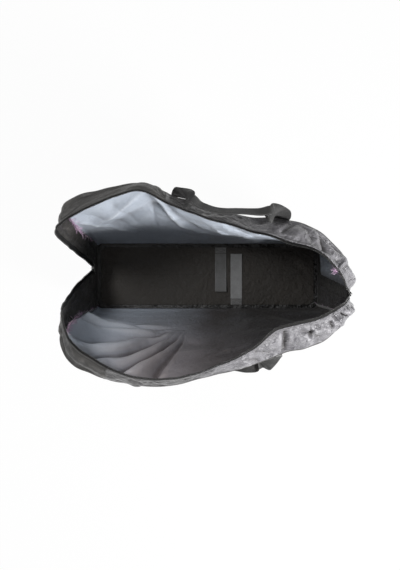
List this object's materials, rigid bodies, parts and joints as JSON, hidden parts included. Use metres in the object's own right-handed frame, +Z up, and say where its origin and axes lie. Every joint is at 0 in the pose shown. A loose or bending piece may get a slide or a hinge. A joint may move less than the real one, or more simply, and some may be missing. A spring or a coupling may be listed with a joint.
{
  "type": "soft bike travel bag",
  "caption": "Soft zipped carry bag for a folded bike, standing open on its base, with two webbing handles and a gusset that parts at the zip.",
  "frame": {"origin": "middle of the base's underside, on the surface that the bag stands on", "axes": "+Z up, +X along the bag towards the end where the zip is still closed, +Y towards the back panel"},
  "size_m": [0.7974, 0.5248, 0.5923],
  "materials": {
    "grey_cloth": "woven polyester, pale grey-blue coating on the inside",
    "black_cloth": "woven polyester, coated on the inside",
    "webbing": "woven webbing",
    "hook_and_loop": "hook and loop tape",
    "zip": "zip tape and nylon coil",
    "metal": "dark plated zip metal",
    "board": "dark board under coated cloth",
    "piping": "dark binding over a cord"
  },
  "bodies": {
    "root": {"back_left_end_gusset": "black_cloth", "back_left_handle_anchor": "webbing", "back_left_seam_allowance": "black_cloth", "back_lower_band": "black_cloth", "back_piping": "piping", "back_right_end_gusset": "grey_cloth", "back_right_handle_anchor": "webbing", "back_right_seam_allowance": "black_cloth", "back_side_panel": "grey_cloth", "back_top_gusset": "grey_cloth", "back_zip_coil": "zip", "back_zip_tape": "zip", "base_board": "board", "base_panel": "black_cloth", "base_piping": "piping", "front_left_end_gusset": "black_cloth", "front_left_handle_anchor": "webbing", "front_left_seam_allowance": "black_cloth", "front_lower_band": "black_cloth", "front_piping": "piping", "front_right_end_gusset": "grey_cloth", "front_right_handle_anchor": "webbing", "front_right_seam_allowance": "black_cloth", "front_side_panel": "grey_cloth", "front_top_gusset": "grey_cloth", "front_zip_coil": "zip", "front_zip_tape": "zip", "hook_strap_anchor": "hook_and_loop", "left_end_lower_band": "black_cloth", "left_zip_end_tab": "black_cloth", "loop_strap_anchor": "hook_and_loop", "right_end_lower_band": "black_cloth", "right_zip_end_tab": "black_cloth"},
    "back_handle": {"back_handle": "webbing"},
    "front_handle": {"front_handle": "webbing"},
    "left_slider": {"left_zip_slider": "metal"},
    "left_pull": {"left_zip_pull": "metal"},
    "right_slider": {"right_zip_slider": "metal"},
    "right_pull": {"right_zip_pull": "metal"},
    "hook_strap": {"hook_strap": "hook_and_loop"},
    "loop_strap": {"loop_strap": "hook_and_loop"}
  },
  "joints": [
    {"name": "back_handle_swing", "type": "hinge", "parent": "root", "child": "back_handle", "pos_m": [-0.07466, 0.19646, 0.50215], "axis": [-0.9788, 0.2018, 0.0353], "range_deg": [0, 160]},
    {"name": "front_handle_swing", "type": "hinge", "parent": "root", "child": "front_handle", "pos_m": [-0.07482, -0.27296, 0.49151], "axis": [-0.9761, -0.2174, -0.0069], "range_deg": [0, 135]},
    {"name": "left_slider_slide", "type": "slide", "parent": "root", "child": "left_slider", "axis": [-0.0982, 0, -0.9952], "range_m": [0, 0.04]},
    {"name": "right_slider_slide", "type": "slide", "parent": "root", "child": "right_slider", "axis": [-0.0326, 0.1153, -0.9928], "range_m": [0, 0.335]},
    {"name": "left_pull_swing", "type": "hinge", "parent": "left_slider", "child": "left_pull", "pos_m": [-0.3701, 0.02398, 0.11195], "axis": [0, 1, 0], "range_deg": [0, 175]},
    {"name": "right_pull_swing", "type": "hinge", "parent": "right_slider", "child": "right_pull", "pos_m": [0.38787, -0.05399, 0.41129], "axis": [0, -0.9933, -0.1153], "range_deg": [0, 175]},
    {"name": "hook_strap_lift", "type": "hinge", "parent": "root", "child": "hook_strap", "pos_m": [0.0444, 0.076, 0.007], "axis": [-1, 0, 0], "range_deg": [0, 100]},
    {"name": "loop_strap_lift", "type": "hinge", "parent": "root", "child": "loop_strap", "pos_m": [0.0964, -0.076, 0.007], "axis": [1, 0, 0], "range_deg": [0, 100]}
  ]
}
